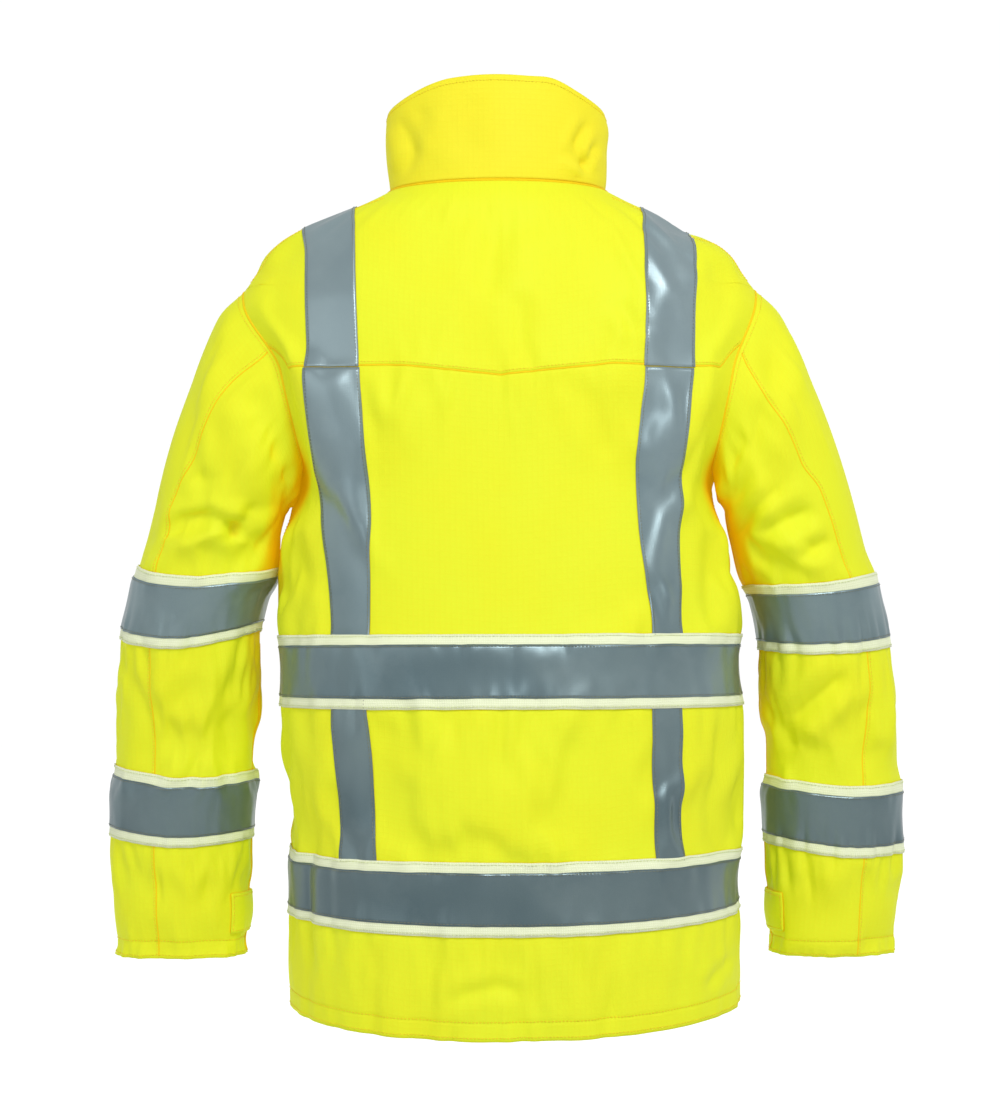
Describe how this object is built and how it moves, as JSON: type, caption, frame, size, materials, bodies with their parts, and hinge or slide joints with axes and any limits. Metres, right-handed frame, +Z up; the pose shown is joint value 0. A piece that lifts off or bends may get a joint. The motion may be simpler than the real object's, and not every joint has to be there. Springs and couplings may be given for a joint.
{
  "type": "turnout coat",
  "caption": "High-visibility protective coat with a stand-up collar, reflective bands and braces, zip under a storm flap, flapped pockets and tabbed cuffs.",
  "frame": {"origin": "centre of the neck opening, level with the collar seam", "axes": "+Z up, the wearer faces -Y, +X towards the wearer's left sleeve"},
  "size_m": [0.8072, 0.3401, 0.9191],
  "materials": {
    "shell_fabric": "fluorescent yellow ripstop weave",
    "lining_fabric": "dark taffeta",
    "interlining_felt": "needled felt",
    "tape_base": "pale lime woven tape",
    "reflective_silver": "retro-reflective silver transfer",
    "zip_tape": "woven polyester",
    "zip_plastic": "moulded acetal",
    "slider_metal": "satin",
    "stud_metal": "satin",
    "webbing": "woven webbing"
  },
  "bodies": {
    "coat": {"back_lining": "lining_fabric", "back_panel": "shell_fabric", "back_yoke": "shell_fabric", "chest_pocket": "shell_fabric", "collar_interlining": "interlining_felt", "collar_lining": "lining_fabric", "collar_shell": "shell_fabric", "hang_loop": "webbing", "hem_band": "tape_base", "hem_silver": "reflective_silver", "left_back_brace": "reflective_silver", "left_front_brace": "reflective_silver", "left_front_lining": "lining_fabric", "left_front_panel": "shell_fabric", "left_pocket": "shell_fabric", "left_shoulder_brace": "reflective_silver", "left_zip_tape": "zip_tape", "left_zip_teeth": "zip_plastic", "right_back_brace": "reflective_silver", "right_front_brace": "reflective_silver", "right_front_lining": "lining_fabric", "right_front_panel": "shell_fabric", "right_pocket": "shell_fabric", "right_shoulder_brace": "reflective_silver", "right_zip_tape": "zip_tape", "right_zip_teeth": "zip_plastic", "storm_flap_root": "shell_fabric", "storm_flap_studs": "stud_metal", "waist_band": "tape_base", "waist_silver": "reflective_silver", "zip_bottom_box": "zip_plastic"},
    "left_sleeve": {"left_upper_sleeve": "shell_fabric", "left_under_sleeve": "shell_fabric", "left_upper_sleeve_lining": "lining_fabric", "left_upper_band": "tape_base", "left_upper_silver": "reflective_silver"},
    "left_forearm": {"left_forearm": "shell_fabric", "left_forearm_lining": "lining_fabric", "left_cuff_band": "tape_base", "left_cuff_silver": "reflective_silver", "left_cuff_tab_root": "shell_fabric"},
    "left_cuff_tab": {"left_cuff_tab": "shell_fabric"},
    "storm_flap": {"storm_flap": "shell_fabric", "storm_flap_stud_caps": "stud_metal"},
    "zip_slider": {"zip_slider": "slider_metal"},
    "zip_puller": {"zip_puller": "slider_metal"},
    "left_pocket_flap": {"left_pocket_flap": "shell_fabric"},
    "right_pocket_flap": {"right_pocket_flap": "shell_fabric"},
    "chest_pocket_flap": {"chest_pocket_flap": "shell_fabric"},
    "right_sleeve": {"right_upper_sleeve": "shell_fabric", "right_under_sleeve": "shell_fabric", "right_upper_sleeve_lining": "lining_fabric", "right_upper_band": "tape_base", "right_upper_silver": "reflective_silver"},
    "right_forearm": {"right_forearm": "shell_fabric", "right_forearm_lining": "lining_fabric", "right_cuff_band": "tape_base", "right_cuff_silver": "reflective_silver", "right_cuff_tab_root": "shell_fabric"},
    "right_cuff_tab": {"right_cuff_tab": "shell_fabric"}
  },
  "joints": [
    {"name": "left_sleeve_raise", "type": "hinge", "parent": "coat", "child": "left_sleeve", "pos_m": [0.256, 0.01, -0.092], "axis": [0, -1, 0], "range_deg": [0, 75]},
    {"name": "left_elbow_bend", "type": "hinge", "parent": "left_sleeve", "child": "left_forearm", "pos_m": [0.31675, -0.08829, -0.462], "axis": [-0.9955, 0, -0.0947], "range_deg": [0, 90]},
    {"name": "left_cuff_tab_lift", "type": "hinge", "parent": "left_forearm", "child": "left_cuff_tab", "pos_m": [0.27053, -0.08203, -0.72227], "axis": [0.0282, -0.0663, -0.9974], "range_deg": [0, 110]},
    {"name": "right_sleeve_raise", "type": "hinge", "parent": "coat", "child": "right_sleeve", "pos_m": [-0.256, 0.01, -0.092], "axis": [0, 1, 0], "range_deg": [0, 75]},
    {"name": "right_elbow_bend", "type": "hinge", "parent": "right_sleeve", "child": "right_forearm", "pos_m": [-0.31675, -0.08829, -0.462], "axis": [-0.9955, 0, 0.0947], "range_deg": [0, 90]},
    {"name": "right_cuff_tab_lift", "type": "hinge", "parent": "right_forearm", "child": "right_cuff_tab", "pos_m": [-0.27053, -0.08203, -0.72227], "axis": [0.0282, 0.0663, 0.9974], "range_deg": [0, 110]},
    {"name": "storm_flap_open", "type": "hinge", "parent": "coat", "child": "storm_flap", "pos_m": [0.044, -0.13506, -0.39861], "axis": [0, 0.0602, 0.9982], "range_deg": [0, 100]},
    {"name": "zip_slide", "type": "slide", "parent": "coat", "child": "zip_slider", "axis": [0, 0.0602, 0.9982], "range_m": [-0.84, 0]},
    {"name": "zip_puller_swing", "type": "hinge", "parent": "zip_slider", "child": "zip_puller", "pos_m": [0, -0.10138, 0.06019], "axis": [-1, 0, 0], "range_deg": [0, 150]},
    {"name": "left_pocket_flap_lift", "type": "hinge", "parent": "coat", "child": "left_pocket_flap", "pos_m": [0.11854, -0.12822, -0.52729], "axis": [-0.9818, -0.19, 0.0004], "range_deg": [0, 95]},
    {"name": "right_pocket_flap_lift", "type": "hinge", "parent": "coat", "child": "right_pocket_flap", "pos_m": [-0.11854, -0.12822, -0.52729], "axis": [-0.9818, 0.19, -0.0004], "range_deg": [0, 95]},
    {"name": "chest_pocket_flap_lift", "type": "hinge", "parent": "coat", "child": "chest_pocket_flap", "pos_m": [0.10024, -0.1148, -0.24933], "axis": [-0.9958, -0.0911, 0.0015], "range_deg": [0, 95]}
  ]
}
